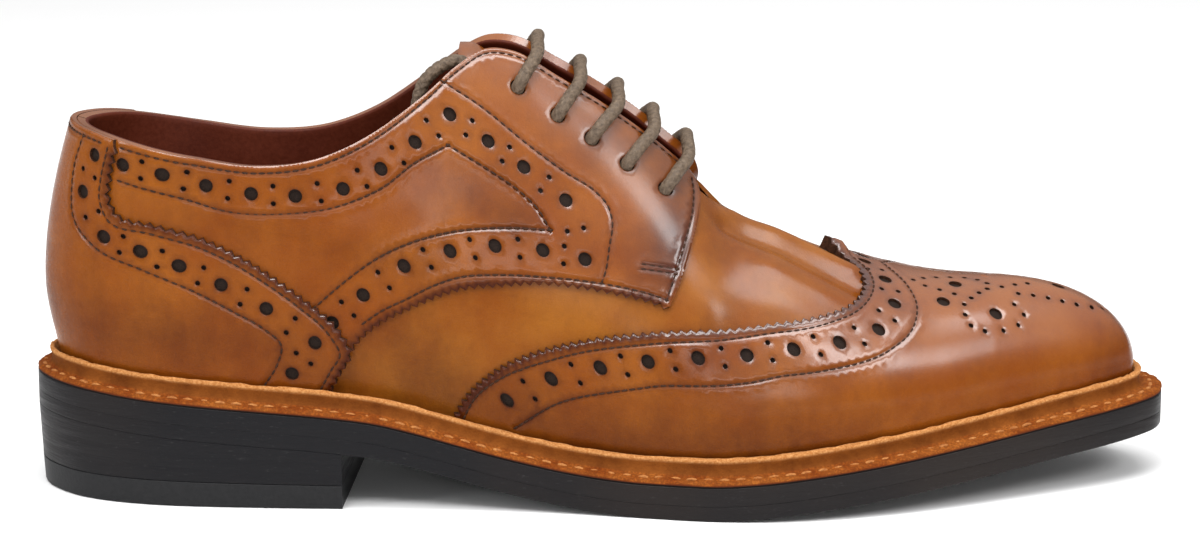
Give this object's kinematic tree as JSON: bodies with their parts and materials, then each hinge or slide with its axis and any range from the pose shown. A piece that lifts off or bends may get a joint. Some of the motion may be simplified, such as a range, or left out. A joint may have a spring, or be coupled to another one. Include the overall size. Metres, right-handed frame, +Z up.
{
  "type": "brogue shoe",
  "caption": "Right wing-cap brogue derby in tan leather, five lace bars, storm welt, double sole and stacked heel; open inside.",
  "frame": {"origin": "middle of the shoe's plan box, on the ground", "axes": "+X to the toe, +Y to the inner side of the foot, +Z up"},
  "size_m": [0.305, 0.1026, 0.1218],
  "materials": {
    "tan_leather": "polished",
    "burnished_leather": "burnished and polished",
    "welt_leather": "raw",
    "lining_leather": "plain",
    "sole_black": "waxed edge",
    "lift_rubber": "satin",
    "waxed_cotton": "waxed"
  },
  "bodies": {
    "root": {"outsole": "sole_black", "midsole": "sole_black", "heel_stack": "sole_black", "heel_top_lift": "lift_rubber", "storm_welt": "welt_leather", "insole": "lining_leather", "upper": "tan_leather", "quarter_outer": "tan_leather", "quarter_inner": "tan_leather", "wing_cap": "burnished_leather", "heel_counter": "burnished_leather", "tongue": "burnished_leather", "lace_bar_1": "waxed_cotton", "lace_bar_2": "waxed_cotton", "lace_bar_3": "waxed_cotton", "lace_bar_4": "waxed_cotton", "lace_bar_5": "waxed_cotton", "lace_end": "waxed_cotton"}
  },
  "joints": []
}
